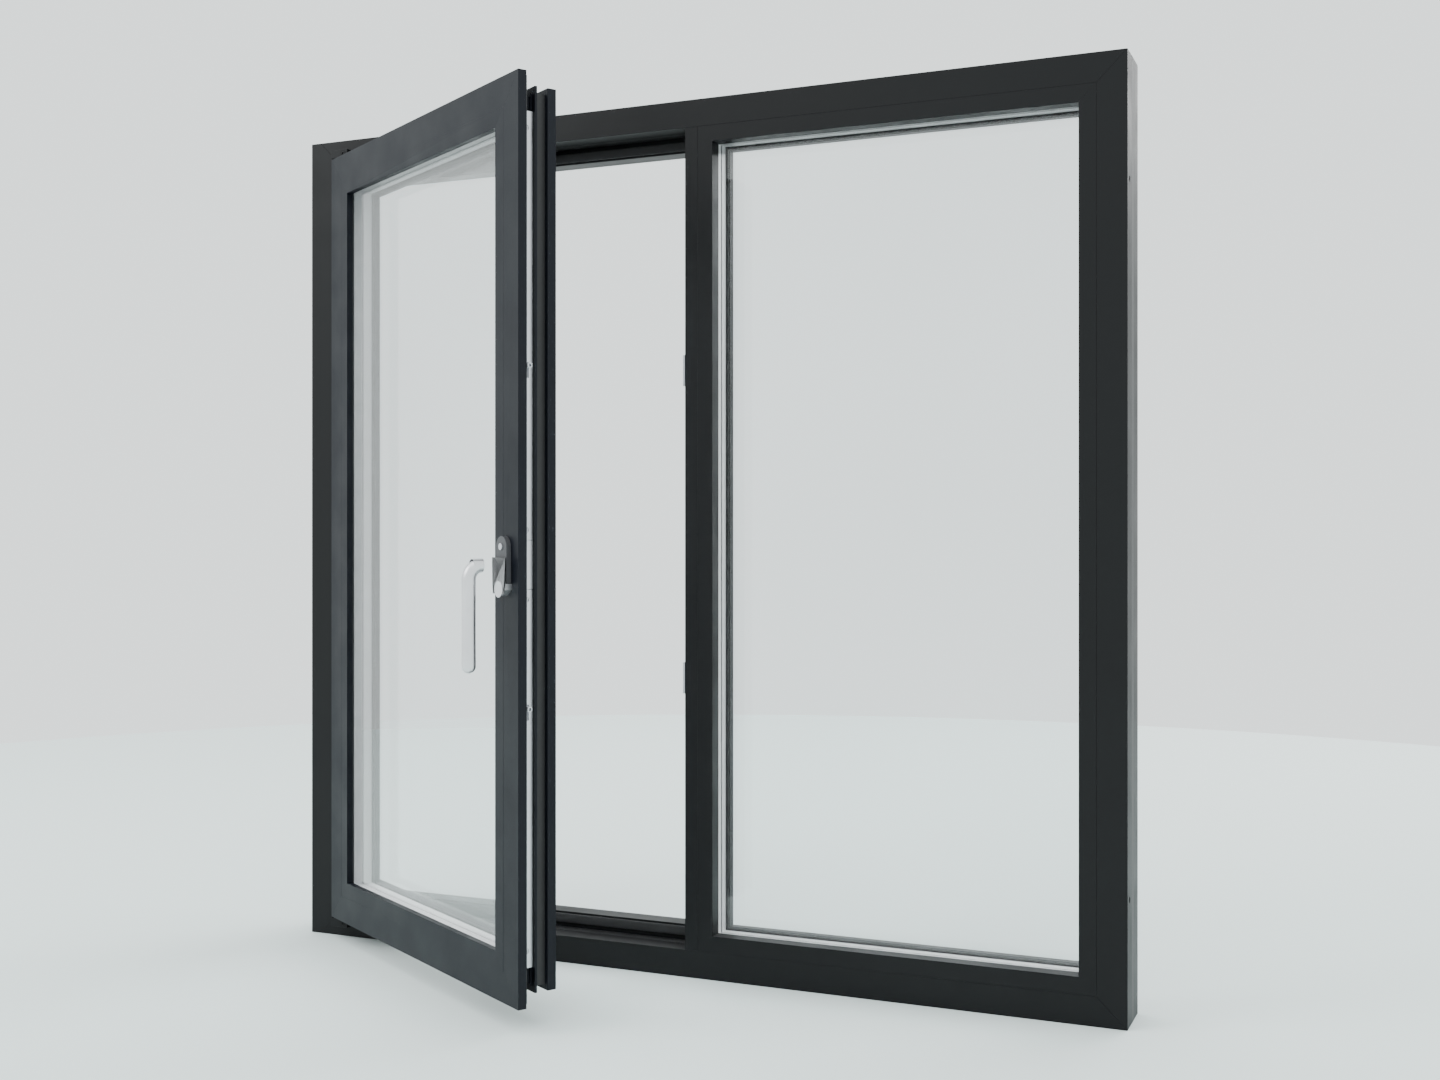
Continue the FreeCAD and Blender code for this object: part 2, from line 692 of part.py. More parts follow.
def overlap_seal():
    """The seal behind the flange, just clear of the frame's face."""
    seal = group(sash_ring("flange_seal_inset", "flange_depth", "flange_seal_width",
                           "( sash_gap - seal_play )"))
    seat(seal, "0", "0", "0", None, True)
    keep(seal, "overlap_seal")


# ---------------------------------------------------------------- pivots

def pivot_ends():
    """The heights where the pins' ends lie, upwards: sash edge, bracket and bush at both ends."""
    top = f"( {SASH_BOTTOM} + {SASH_HEIGHT} )"
    return {
        "lower": (f"( {SASH_BOTTOM} - bracket_play - bracket_height )", SASH_BOTTOM),
        "upper": (f"( {top} + bracket_play )", f"( {top} - bush_length )"),
    }


def pivots():
    """Brackets on the frame's face, with a pin each that turns in a bush in the sash."""
    hole = "( pin_dia + 2 * pin_play )"
    pin_length = "( bracket_height + bracket_play + bush_length )"
    forward = f"( {ROOM} - ( {PIVOT_Y} ) + pivot_inset )"
    brackets = []
    pins = []
    bushes = []
    screws = []
    for end, (bracket_z, bush_z) in pivot_ends().items():
        block = box(f"( {PIVOT_X} - pivot_inset )", f"( {PIVOT_Y} - pivot_inset )", bracket_z,
                    "bracket_width * 2", forward, "bracket_height")
        bore = rod(PIVOT_X, PIVOT_Y, f"( {bracket_z} - through )", "pin_dia",
                   "( bracket_height + 2 * through )")
        screw_x = f"( {PIVOT_X} - pivot_inset + 1.5 * bracket_width )"
        screw_z = f"( {bracket_z} + bracket_height / 2 )"
        face = f"( {PIVOT_Y} - pivot_inset )"
        outside = f"( {face} - through )"
        screw_hole = rod(screw_x, outside, screw_z, "screw_dia", f"( {forward} + 2 * through )", (0, 1, 0))
        sink = rod(screw_x, outside, screw_z, "screw_head", "( sink_depth + through )", (0, 1, 0))
        brackets.append(cut(block, fuse(bore, screw_hole, sink)))
        pin_z = bracket_z if end == "lower" else bush_z
        pins.append(rod(PIVOT_X, PIVOT_Y, pin_z, "pin_dia", pin_length))
        bushes.append(cut(rod("0", "0", bush_z, "bush_dia", "bush_length"),
                          rod("0", "0", f"( {bush_z} - through )", hole, "( bush_length + 2 * through )")))
        screws.append(fuse(rod(screw_x, face, screw_z, "screw_head", "screw_head_depth", (0, 1, 0)),
                           rod(screw_x, face, screw_z, "screw_dia", forward, (0, 1, 0))))
    keep(group(*brackets), "pivot_brackets")
    keep(group(*pins), "pivot_pins")
    keep(group(*screws), "pivot_screws")
    bush_pair = group(*bushes)
    seat(bush_pair, "0", "0", "0", None, True)
    keep(bush_pair, "pivot_bushes")


# ---------------------------------------------------------------- lock gear

def from_free(inset):
    """A place measured inwards from the free edge of the sash's flange."""
    return f"( {FREE_EDGE} - {inset} )"


def plate_cuts(width, depth):
    """Slots for the cams and the two joints at the gearbox's piece."""
    outside = f"( {FREE_EDGE} - seat_inset - through )"
    deep = "( plate_thick + 2 * through )"
    slot_side = f"( {GEAR_Y} - cam_dia / 2 - play )"
    cuts = []
    for height in CAM_HEIGHTS:
        low = f"( {height} - cam_dia / 2 - edge_set_back - {BAR_TRAVEL} )"
        cuts.append(box(outside, slot_side, low, deep, "( cam_dia + 2 * play )",
                        f"( cam_dia + 2 * edge_set_back + {BAR_TRAVEL} )"))
    for sign in ("-", "+"):
        cuts.append(box(outside, f"( {depth} - through )", f"( handle_height {sign} cover_reach )", deep,
                        f"( {width} + 2 * through )", "joint_gap"))
    return cuts


def plate_screw_heights(low, length):
    return (f"( {low} + plate_screw )", f"( {low} + {length} - plate_screw )",
            "( handle_height - cover_reach - cover_screw )",
            "( handle_height + cover_reach + cover_screw )")


def faceplate():
    """The silver strips in the lock stile's groove, with slots for the cams and four screws."""
    width = "( groove_width - 2 * play )"
    depth = f"( {SASH_SIDE} + flange_depth + play )"
    low = f"( {SASH_BOTTOM} + plate_end )"
    length = f"( {SASH_HEIGHT} - 2 * plate_end )"
    seat_x = from_free("seat_inset")
    plate = box(seat_x, depth, low, "plate_thick", width, length)
    cuts = plate_cuts(width, depth)
    screws = []
    for z in plate_screw_heights(low, length):
        cuts.append(rod(f"( {seat_x} - through )", GEAR_Y, z, "( plate_head + play )",
                        "( plate_thick + 2 * through )", (1, 0, 0)))
        head = rod(seat_x, GEAR_Y, z, "plate_head", "( plate_thick - play )", (1, 0, 0))
        shank = rod(seat_x, GEAR_Y, z, "plate_shank", "( channel_inset - seat_inset )", (-1, 0, 0))
        screws.append(fuse(head, shank))
    part = cut(plate, fuse(*cuts))
    screw_group = group(*screws)
    for piece, label in ((part, "faceplate"), (screw_group, "faceplate_screws")):
        seat(piece, "0", "0", "0", None, True)
        keep(piece, label)


def gearbox():
    """The case round the pinion, open towards the rack."""
    y0 = f"( {GEAR_Y} - case_depth / 2 )"
    x0 = f"( {FREE_EDGE} - channel_inset - {CASE_REACH} )"
    z0 = "( handle_height - case_height / 2 )"
    case = box(x0, y0, z0, CASE_REACH, "case_depth", "case_height")
    tip_dia = f"( 2 * ( {PITCH_RADIUS} + tooth_module + gear_room ) )"
    axis_x = from_free(SPINDLE_INSET)
    room_y = f"( {GEAR_Y} - gear_width / 2 - play )"
    room_width = "( gear_width + 2 * play )"
    room = rod(axis_x, room_y, "handle_height", tip_dia, room_width, (0, 1, 0))
    hub = rod(axis_x, f"( {y0} - through )", "handle_height", "( hub_dia + hole_play )",
              "( case_depth + 2 * through )", (0, 1, 0))
    rack_deep = f"( {RACK_LINE} + tooth_module + gear_room )"
    rack_room = box(from_free(rack_deep), room_y, f"( {z0} - through )",
                    f"( {rack_deep} - channel_inset + through )", room_width, "( case_height + 2 * through )")
    body = cut(case, fuse(room, hub, rack_room))
    seat(body, "0", "0", "0", None, True)
    keep(body, "gearbox_case")


def prism(points, direction):
    wire = Part.makePolygon(points + [points[0]])
    return Part.Face(wire).extrude(direction)


def tooth(root, tip, middle, thick, y):
    """A straight-flanked tooth between two distances along X, as a prism along Y."""
    root_half = ROOT_HALF * thick
    tip_half = TIP_HALF * thick
    corners = ((root, middle - root_half), (tip, middle - tip_half), (tip, middle + tip_half),
               (root, middle + root_half))
    width = value("gear_width")
    points = [FreeCAD.Vector(x, y - width / 2, z) for x, z in corners]
    return prism(points, FreeCAD.Vector(0, width, 0))


def cylinder_y(radius, length):
    return Part.makeCylinder(radius, length, FreeCAD.Vector(0, -length / 2, 0), FreeCAD.Vector(0, 1, 0))


def pinion():
    """A gear of straight-flanked teeth with hubs and a square hole, turning about Y."""
    size = value("tooth_module")
    count = int(value("tooth_count"))
    pitch = value(PITCH_RADIUS)
    root = pitch - value(ROOT_DEPTH)
    gear = cylinder_y(root, value("gear_width"))
    one = tooth(root - TOOTH_FOOT * size, pitch + TIP_REACH * size, 0, size, 0)
    for number in range(count):
        next_tooth = one.copy()
        next_tooth.rotate(FreeCAD.Vector(), FreeCAD.Vector(0, 1, 0), (number + 0.5) * 360 / count)
        gear = gear.fuse(next_tooth)
    length = value("case_depth")
    gear = gear.fuse(cylinder_y(value("hub_dia / 2"), length))
    hole = value("spindle_square + hole_play")
    corner = FreeCAD.Vector(-hole / 2, -length, -hole / 2)
    gear = gear.cut(Part.makeBox(hole, 2 * length, hole, corner))
    body = doc.addObject("Part::Feature", "Pinion")
    body.Shape = gear.removeSplitter()
    seat(body, from_free(SPINDLE_INSET), GEAR_Y, "handle_height", None, True)
    keep(body, "pinion")


def rack():
    """The toothed strip on the back of the lock bar, with a gap for a pinion tooth in its middle."""
    size = value("tooth_module")
    count = int(value("tooth_count"))
    pitch = math.pi * size
    line = value(from_free(RACK_LINE))
    root = line + value(ROOT_DEPTH)
    back = value(from_free(BAR_BACK))
    y = value(GEAR_Y)
    height = value("handle_height")
    width = value("gear_width")
    corner = FreeCAD.Vector(root, y - width / 2, height - count * pitch / 2)
    strip = Part.makeBox(back - root + value("rack_back"), width, count * pitch, corner)
    for number in range(1, count):
        middle = height + (number - count / 2) * pitch
        strip = strip.fuse(tooth(root + RACK_FOOT * size, line - RACK_TIP * size, middle, size, y))
    return strip


def lock_bar():
    """The flat bar behind the faceplate, with a rack for the pinion and slots that pass two screws."""
    low = value("bar_end")
    length = value(f"{SASH_HEIGHT} + 2 * {SASH_BOTTOM}") - 2 * low
    thick = value("bar_thick")
    width = value("bar_width")
    back = value(from_free(BAR_BACK))
    y = value(GEAR_Y)
    whole = Part.makeBox(thick, width, length, FreeCAD.Vector(back, y - width / 2, low)).fuse(rack())
    half = value("plate_shank / 2 + slot_play")
    tall = 2 * half + value(BAR_TRAVEL)
    over = value("through")
    for sign in (-1, 1):
        height = value(f"handle_height + {sign} * ( cover_reach + cover_screw )")
        corner = FreeCAD.Vector(back - over, y - half, height - half)
        whole = whole.cut(Part.makeBox(thick + 2 * over, 2 * half, tall, corner))
    body = doc.addObject("Part::Feature", "LockBar")
    body.Shape = whole.removeSplitter()
    seat(body, "0", "0", "0", None, True)
    keep(body, "lock_bar")


def lock_cams():
    """Round cams that stand out of the faceplate and draw the sash shut."""
    reach = "( seat_inset + play - sash_overlap - cam_face )"
    cams = [rod(from_free(BAR_START), GEAR_Y, height, "cam_dia", reach, (1, 0, 0))
            for height in CAM_HEIGHTS]
    pair = group(*cams)
    seat(pair, "0", "0", "0", None, True)
    keep(pair, "lock_cams")


def keepers():
    """Bars on the mullion that the cams run behind, each with a foot for two screws above."""
    x = f"( {MULLION_WALL} - keeper_reach )"
    depth = f"( {SASH_FRONT} + {GEAR_MIDDLE} - cam_dia / 2 - keeper_gap - keeper_hook )"
    screw_y = f"( {depth} + keeper_foot / 2 )"
    bars = []
    screws = []
    for height in CAM_HEIGHTS:
        low = f"( {height} - cam_dia / 2 - gear_room )"
        high = f"( {height} + cam_dia )"
        hook = box(x, depth, low, "keeper_reach", "keeper_hook", f"( {high} - {low} )")
        foot = box(x, depth, high, "keeper_reach", "keeper_foot", "keeper_height")
        holes = []
        for z in (f"( {high} + keeper_screw )", f"( {high} + keeper_height - keeper_screw )"):
            holes.append(rod(f"( {x} - through )", screw_y, z, "screw_dia",
                             "( keeper_reach + 2 * through )", (1, 0, 0)))
            screws.append(rod(x, screw_y, z, "screw_dia", "keeper_reach", (1, 0, 0)))
        bars.append(cut(fuse(hook, foot), fuse(*holes)))
    keep(group(*bars), "keepers")
    keep(group(*screws), "keeper_screws")


# ---------------------------------------------------------------- handle

def obround(width, height, depth):
    """A plate with round ends, centred on X and Z, from y = 0 outwards."""
    straight = f"( {height} - {width} )"
    middle = box(f"( - {width} / 2 )", "0", f"( - {straight} / 2 )", width, depth, straight)
    ends = [rod("0", "0", f"( {sign} * {straight} / 2 )", width, depth, (0, 1, 0)) for sign in SIGNS]
    return fuse(middle, *ends)


def neck_bore():
    return rod("0", "( - through )", "0", "( neck_dia + hole_play )", "( 2 * rose_depth )", (0, 1, 0))


def rosette_base(x, base_depth):
    """The plate under the cover, with a bore for the neck and two screw holes."""
    holes = [rod("0", "( - through )", f"( {sign} * rose_screw )", "rose_screw_dia", "( 2 * rose_depth )",
                 (0, 1, 0)) for sign in SIGNS]
    width = "( rose_width - 2 * rose_wall - 2 * hole_play )"
    height = "( rose_height - 2 * rose_wall - 2 * hole_play )"
    base = cut(obround(width, height, base_depth), fuse(neck_bore(), *holes))
    seat(base, x, f"( {SASH_SIDE} - {base_depth} )", "handle_height", None, True)
    keep(base, "rosette_base")


def rosette_cover(x):
    inside = obround("( rose_width - 2 * rose_wall )", "( rose_height - 2 * rose_wall )", "rose_depth")
    seat(inside, "0", "rose_wall", "0")
    cover = cut(obround("rose_width", "rose_height", "rose_depth"), fuse(inside, neck_bore()))
    seat(cover, x, f"( {SASH_SIDE} - rose_depth )", "handle_height", None, True)
    keep(cover, "rosette_cover")


def handle_screws(x, base_depth):
    screws = []
    for sign in SIGNS:
        height = f"( {sign} * rose_screw )"
        head = rod("0", f"( - {base_depth} - rose_head_depth )", height, "screw_head", "rose_head_depth",
                   (0, 1, 0))
        shank = rod("0", f"( - {base_depth} - through )", height, "rose_screw_dia",
                    f"( {base_depth} + rose_screw_reach )", (0, 1, 0))
        screws.append(fuse(head, shank))
    pair = group(*screws)
    seat(pair, x, SASH_SIDE, "handle_height", None, True)
    keep(pair, "handle_screws")


def rosette():
    """The base plate, its cover and the two screws that hold the handle to the stile."""
    x = from_free(SPINDLE_INSET)
    base_depth = "( rose_depth - rose_wall - rose_head_depth - 2 * play )"
    rosette_base(x, base_depth)
    rosette_cover(x)
    handle_screws(x, base_depth)


def lever():
    """A round neck, an elbow of one bar's radius and a grip that hangs down to its rounded end."""
    bend = "grip_dia"
    stand = f"( rose_depth + grip_stand - {bend} )"
    neck = rod("0", "( through - rose_depth )", "0", "neck_dia", f"( {stand} - rose_depth + through )",
               (0, -1, 0))
    elbow = doc.addObject("Part::Torus", "Elbow")
    bind(elbow, Radius1=bend, Radius2="grip_dia / 2", Angle3="90")
    bend_turn = FreeCAD.Rotation(FreeCAD.Vector(0, -1, 0), FreeCAD.Vector(0, 0, 1),
                                 FreeCAD.Vector(-1, 0, 0))
    seat(elbow, "0", f"( - {stand} )", f"( - {bend} )", bend_turn)
    straight = f"( lever_length - {bend} - grip_dia / 2 )"
    grip = rod("0", f"( - {stand} - {bend} )", f"( - {bend} )", "grip_dia", straight, (0, 0, -1))
    tip = doc.addObject("Part::Sphere", "Tip")
    bind(tip, Radius="grip_dia / 2")
    seat(tip, "0", f"( - {stand} - {bend} )", f"( - {bend} - {straight} )")
    handle = fuse(neck, elbow, grip, tip)
    seat(handle, from_free(SPINDLE_INSET), SASH_SIDE, "handle_height", None, True)
    keep(handle, "handle_lever")
    reach = f"( rose_depth - through + {GEAR_MIDDLE} + case_depth / 2 )"
    spindle = box("( - spindle_square / 2 )", "( through - rose_depth )", "( - spindle_square / 2 )",
                  "spindle_square", reach, "spindle_square")
    square = group(spindle)
    seat(square, from_free(SPINDLE_INSET), SASH_SIDE, "handle_height", None, True)
    keep(square, "handle_spindle")


def check():
    """Stop if any object failed or any sub-part has no sound shape."""
    for obj in doc.Objects:
        if any(word in obj.State for word in ("Invalid", "Error")):
            raise ValueError(f"{obj.Label} failed: {obj.State}")
    for obj in made:
        if obj.Shape.isNull() or not obj.Shape.isValid():
            raise ValueError(f"{obj.Label} has no sound shape")


frame_shells()
mullion()
frame_breaks()
frame_cleats()
mullion_cleats()
stop_profiles()
centre_seal()
drain_caps()
glazing("fixed", FIXED_WALL, ROOM, "frame_face", f"( {LOCK_WALL} - {FIXED_WALL} )",
        "( frame_height - 2 * frame_face )", FIXED_BEAD)
sash_shells()
sash_breaks()
sash_cleats()
overlap_seal()
glazing("sash", f"( {SASH_SIDE} + sash_body )", SASH_SIDE, f"( {SASH_BOTTOM} + sash_body )",
        f"( {SASH_WIDTH} - 2 * sash_body )", f"( {SASH_HEIGHT} - 2 * sash_body )", "sash_bead", True)
pivots()
faceplate()
gearbox()
pinion()
lock_bar()
lock_cams()
keepers()
rosette()
lever()
doc.recompute()
check()
os.makedirs("parts", exist_ok=True)
for obj in made:
    obj.Shape.exportStep(f"parts/{obj.Label}.step")
print(len(made), "sub-parts written")
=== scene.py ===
import json
import math

import bmesh
import bpy
from bpy.props import FloatProperty, FloatVectorProperty, PointerProperty
from mathutils import Matrix, Vector


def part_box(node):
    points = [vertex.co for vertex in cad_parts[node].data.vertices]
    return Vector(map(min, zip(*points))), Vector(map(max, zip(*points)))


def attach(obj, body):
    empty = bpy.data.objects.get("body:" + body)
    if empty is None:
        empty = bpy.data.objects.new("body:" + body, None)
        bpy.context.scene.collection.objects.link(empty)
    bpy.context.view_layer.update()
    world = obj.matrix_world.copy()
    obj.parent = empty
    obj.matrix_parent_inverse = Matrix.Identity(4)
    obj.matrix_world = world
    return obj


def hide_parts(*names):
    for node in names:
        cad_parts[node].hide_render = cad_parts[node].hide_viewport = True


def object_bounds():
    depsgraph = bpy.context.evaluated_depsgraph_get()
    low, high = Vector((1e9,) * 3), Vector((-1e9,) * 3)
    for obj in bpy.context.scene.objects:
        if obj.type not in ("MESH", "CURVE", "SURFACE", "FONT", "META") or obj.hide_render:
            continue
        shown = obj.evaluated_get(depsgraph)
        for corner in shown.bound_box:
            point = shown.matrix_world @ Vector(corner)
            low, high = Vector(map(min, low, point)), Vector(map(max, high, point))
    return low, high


bl_info = {
    "name": "Casement window finish",
    "version": (1, 0, 0),
    "blender": (4, 5, 0),
    "location": "View3D > Sidebar > Window",
    "description": "Finishes a two-light aluminium window: coatings, glass, handle and lock gear",
    "category": "Object",
}

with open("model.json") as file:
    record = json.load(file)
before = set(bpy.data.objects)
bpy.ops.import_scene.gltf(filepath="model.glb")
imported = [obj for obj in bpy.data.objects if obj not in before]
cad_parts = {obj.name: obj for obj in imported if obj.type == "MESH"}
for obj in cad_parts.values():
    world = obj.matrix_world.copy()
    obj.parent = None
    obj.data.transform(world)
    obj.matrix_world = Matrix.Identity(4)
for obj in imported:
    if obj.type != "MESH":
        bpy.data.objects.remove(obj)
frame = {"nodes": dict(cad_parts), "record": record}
CAD_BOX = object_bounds()
RECORD = frame["record"]
JOINTS = {joint["name"]: joint for joint in RECORD["behaviour"]["joints"]}
SLOT_OF = {part["node"]: part["material_slot"] for part in RECORD["subparts"]}
MM = 0.001
SHARP_ANGLE = 50          # degrees: coated edges sharper than this are rounded
WELD_DISTANCE = 0.01 * MM

# Camera, measured from the frame's left edge, its room face and the floor
CAMERA_LENS = 40
CAMERA_SENSOR = 36
CAMERA_SHIFT = -0.005
CAMERA_TURN = 23.47
CAMERA_RIGHT = 1.4781
CAMERA_HEIGHT = 0.5828

# Stage, in metres
FLOOR_GAP = 0.2 * MM
FLOOR_RADIUS = 3.0
FLOOR_RISE = 3.2
WALL_HEIGHT = 3.0
AIM_HEIGHT = 0.6

# The open sash's own axes: outwards, towards its free edge, and up
OUTWARDS = Vector(JOINTS["handle_turn"]["axis"]).normalized()
UP = Vector((0, 0, 1))
ALONG = OUTWARDS.cross(UP)
SPINDLE = Vector(JOINTS["handle_turn"]["pos_m"])
SASH_TURN = Matrix((ALONG, OUTWARDS, UP)).transposed().to_4x4()
FRAME_TURN = Matrix.Identity(4)


def islands(node, axis, turn=FRAME_TURN, gap=4 * MM):
    """The boxes of a node's separate solids, in order along one axis of the turned frame."""
    piece = frame["nodes"][node]
    back = turn.inverted() @ piece.matrix_world
    places = sorted((back @ vert.co for vert in piece.data.vertices), key=lambda place: place[axis])
    groups = [[places[0]]]
    for before, place in zip(places, places[1:]):
        if place[axis] - before[axis] > gap:
            groups.append([])
        groups[-1].append(place)
    return [(Vector([min(place[k] for place in group) for k in range(3)]),
             Vector([max(place[k] for place in group) for k in range(3)])) for group in groups]


class FinishSizes(bpy.types.PropertyGroup):
    """Sizes that a user would change."""

    edge_radius: FloatProperty(
        name="Edge radius", description="Rounding of the coated profiles' edges",
        default=0.35 * MM, unit="LENGTH")
    grip_width: FloatProperty(
        name="Grip width", description="Diameter of the lever's grip",
        default=16.4 * MM, unit="LENGTH")
    neck_width: FloatProperty(
        name="Neck width", description="Diameter of the lever's neck",
        default=15.4 * MM, unit="LENGTH")
    rosette_edge: FloatProperty(
        name="Rosette edge", description="Rounding of the rosette's front edge",
        default=1.6 * MM, unit="LENGTH")
    camera_distance: FloatProperty(
        name="Camera distance", description="From the frame's room face to the camera",
        default=1.907, unit="LENGTH")


class FinishColours(bpy.types.PropertyGroup):
    """Colours of the coatings and metals."""

    frame_coat: FloatVectorProperty(
        name="Frame coat", description="Powder coat of the fixed frame",
        default=(0.0040, 0.0043, 0.0050), size=3, subtype="COLOR")
    sash_coat: FloatVectorProperty(
        name="Sash coat", description="Powder coat of the opening sash",
        default=(0.0030, 0.0042, 0.0078), size=3, subtype="COLOR")
    handle_metal: FloatVectorProperty(
        name="Handle metal", description="Satin anodised aluminium of the handle",
        default=(0.72, 0.72, 0.74), size=3, subtype="COLOR")
    gear_metal: FloatVectorProperty(
        name="Lock metal", description="Silver steel of the lock gear",
        default=(0.62, 0.63, 0.66), size=3, subtype="COLOR")
    glass_tint: FloatVectorProperty(
        name="Glass tint", description="Tint of one pane",
        default=(0.985, 0.996, 0.998), size=3, subtype="COLOR")
    floor: FloatVectorProperty(
        name="Floor", description="Floor and backdrop",
        default=(0.75, 0.83, 0.82), size=3, subtype="COLOR")


def sizes():
    return bpy.context.scene.window_sizes


def colours():
    return bpy.context.scene.window_colours


# ---------------------------------------------------------------- materials

def new_material(name, colour, roughness, metallic=0.0):
    """A material with its base colour, roughness and metalness set."""
    material = bpy.data.materials.new(name)
    material.use_nodes = True
    nodes = material.node_tree.nodes
    shader = nodes["Principled BSDF"]
    shader.inputs["Base Color"].default_value = (*colour, 1)
    shader.inputs["Roughness"].default_value = roughness
    shader.inputs["Metallic"].default_value = metallic
    return material, material.node_tree, shader


def pattern(tree, scale, detail=3.0, stretch=(1, 1, 1), kind="ShaderNodeTexNoise"):
    """A noise or cell pattern on the piece's own coordinates."""
    nodes = tree.nodes
    place = nodes.new("ShaderNodeTexCoord")
    mapping = nodes.new("ShaderNodeMapping")
    mapping.inputs["Scale"].default_value = stretch
    texture = nodes.new(kind)
    texture.inputs["Scale"].default_value = scale
    if "Detail" in texture.inputs:
        texture.inputs["Detail"].default_value = detail
    tree.links.new(place.outputs["Object"], mapping.inputs["Vector"])
    tree.links.new(mapping.outputs["Vector"], texture.inputs["Vector"])
    return texture


def spread(tree, texture, low, high):
    """The pattern's value stretched to a range."""
    output = texture.outputs["Fac"] if "Fac" in texture.outputs else texture.outputs["Distance"]
    node = tree.nodes.new("ShaderNodeMapRange")
    node.inputs["From Min"].default_value = 0.3
    node.inputs["From Max"].default_value = 0.7
    node.inputs["To Min"].default_value = low
    node.inputs["To Max"].default_value = high
    tree.links.new(output, node.inputs["Value"])
    return node.outputs["Result"]


def tint(tree, factor, first, second):
    node = tree.nodes.new("ShaderNodeMix")
    node.data_type = "RGBA"
    node.inputs["A"].default_value = (*first, 1)
    node.inputs["B"].default_value = (*second, 1)
    tree.links.new(factor, node.inputs["Factor"])
    return node.outputs["Result"]


def bump(tree, shader, height, strength, distance):
    node = tree.nodes.new("ShaderNodeBump")
    node.inputs["Strength"].default_value = strength
    node.inputs["Distance"].default_value = distance
    tree.links.new(height, node.inputs["Height"])
    tree.links.new(node.outputs["Normal"], shader.inputs["Normal"])


def shade(colour, factor):
    return tuple(channel * factor for channel in colour)


def powder_coat(name, colour):
    """Fine textured powder coat: grain, faint clouding and slightly worn gloss."""
    material, tree, shader = new_material(name, colour, 0.5)
    clouds = pattern(tree, 3.5, 4)
    grain = pattern(tree, 900, 2)
    tree.links.new(tint(tree, spread(tree, clouds, 0, 1), shade(colour, 0.93), shade(colour, 1.1)),
                   shader.inputs["Base Color"])
    tree.links.new(spread(tree, pattern(tree, 14, 5), 0.42, 0.54), shader.inputs["Roughness"])
    bump(tree, shader, spread(tree, grain, 0, 1), 0.25, 0.0001)
    shader.inputs["Specular IOR Level"].default_value = 0.2
    return material


def brushed_metal(name, colour, roughness, stretch):
    """Metal with fine lines along one direction."""
    material, tree, shader = new_material(name, colour, roughness, 1.0)
    lines = pattern(tree, 450, 3, stretch)
    blotches = pattern(tree, 30, 4)
    tree.links.new(tint(tree, spread(tree, blotches, 0, 1), shade(colour, 0.94), shade(colour, 1.04)),
                   shader.inputs["Base Color"])
    tree.links.new(spread(tree, lines, roughness - 0.05, roughness + 0.07), shader.inputs["Roughness"])
    bump(tree, shader, spread(tree, lines, 0, 1), 0.12, 0.00005)
    return material


def rubber(name, colour, roughness=0.7):
    """Extruded rubber: dull, with bloom and a fine skin."""
    material, tree, shader = new_material(name, colour, roughness)
    bloom = pattern(tree, 40, 5)
    tree.links.new(tint(tree, spread(tree, bloom, 0, 1), shade(colour, 0.8), shade(colour, 1.7)),
                   shader.inputs["Base Color"])
    tree.links.new(spread(tree, bloom, roughness - 0.08, roughness + 0.1), shader.inputs["Roughness"])
    bump(tree, shader, spread(tree, pattern(tree, 1200, 2), 0, 1), 0.2, 0.0001)
    return material


def moulded(name, colour, roughness=0.5):
    """Moulded plastic with a sparked grain."""
    material, tree, shader = new_material(name, colour, roughness)
    grain = pattern(tree, 1500, 2)
    tree.links.new(tint(tree, spread(tree, pattern(tree, 25, 3), 0, 1), shade(colour, 0.9),
                        shade(colour, 1.15)), shader.inputs["Base Color"])
    tree.links.new(spread(tree, grain, roughness - 0.06, roughness + 0.08), shader.inputs["Roughness"])
    bump(tree, shader, spread(tree, grain, 0, 1), 0.3, 0.0001)
    return material


def spacer_bar(name):
    """Bright spacer with rows of tiny holes towards the gas."""
    material, tree, shader = new_material(name, (0.86, 0.87, 0.88), 0.42, 0.1)
    dots = pattern(tree, 260, 0, kind="ShaderNodeTexVoronoi")
    tree.links.new(tint(tree, spread(tree, pattern(tree, 60, 3), 0, 1), (0.84, 0.85, 0.86),
                        (0.93, 0.93, 0.94)), shader.inputs["Base Color"])
    tree.links.new(spread(tree, pattern(tree, 80, 3), 0.32, 0.46), shader.inputs["Roughness"])
    bump(tree, shader, spread(tree, dots, 0, 1), 0.3, 0.0002)
    return material


def clear_glass(name, colour):
    """Float glass with faint dust; lamps shine through it."""
    material, tree, shader = new_material(name, colour, 0.0)
    shader.inputs["Transmission Weight"].default_value = 1.0
    shader.inputs["IOR"].default_value = 1.46
    tree.links.new(spread(tree, pattern(tree, 6, 6), 0.0, 0.012), shader.inputs["Roughness"])
    tree.links.new(tint(tree, spread(tree, pattern(tree, 2, 2), 0, 1), colour, shade(colour, 0.985)),
                   shader.inputs["Base Color"])
    bump(tree, shader, spread(tree, pattern(tree, 4, 1), 0, 1), 0.02, 0.0002)
    path = tree.nodes.new("ShaderNodeLightPath")
    open_way = tree.nodes.new("ShaderNodeBsdfTransparent")
    open_way.inputs["Color"].default_value = (*colour, 1)
    mix = tree.nodes.new("ShaderNodeMixShader")
    tree.links.new(path.outputs["Is Shadow Ray"], mix.inputs["Fac"])
    tree.links.new(shader.outputs["BSDF"], mix.inputs[1])
    tree.links.new(open_way.outputs["BSDF"], mix.inputs[2])
    tree.links.new(mix.outputs["Shader"], tree.nodes["Material Output"].inputs["Surface"])
    return material


ALONG_Z = (1, 1, 0.02)
MATERIALS = {}


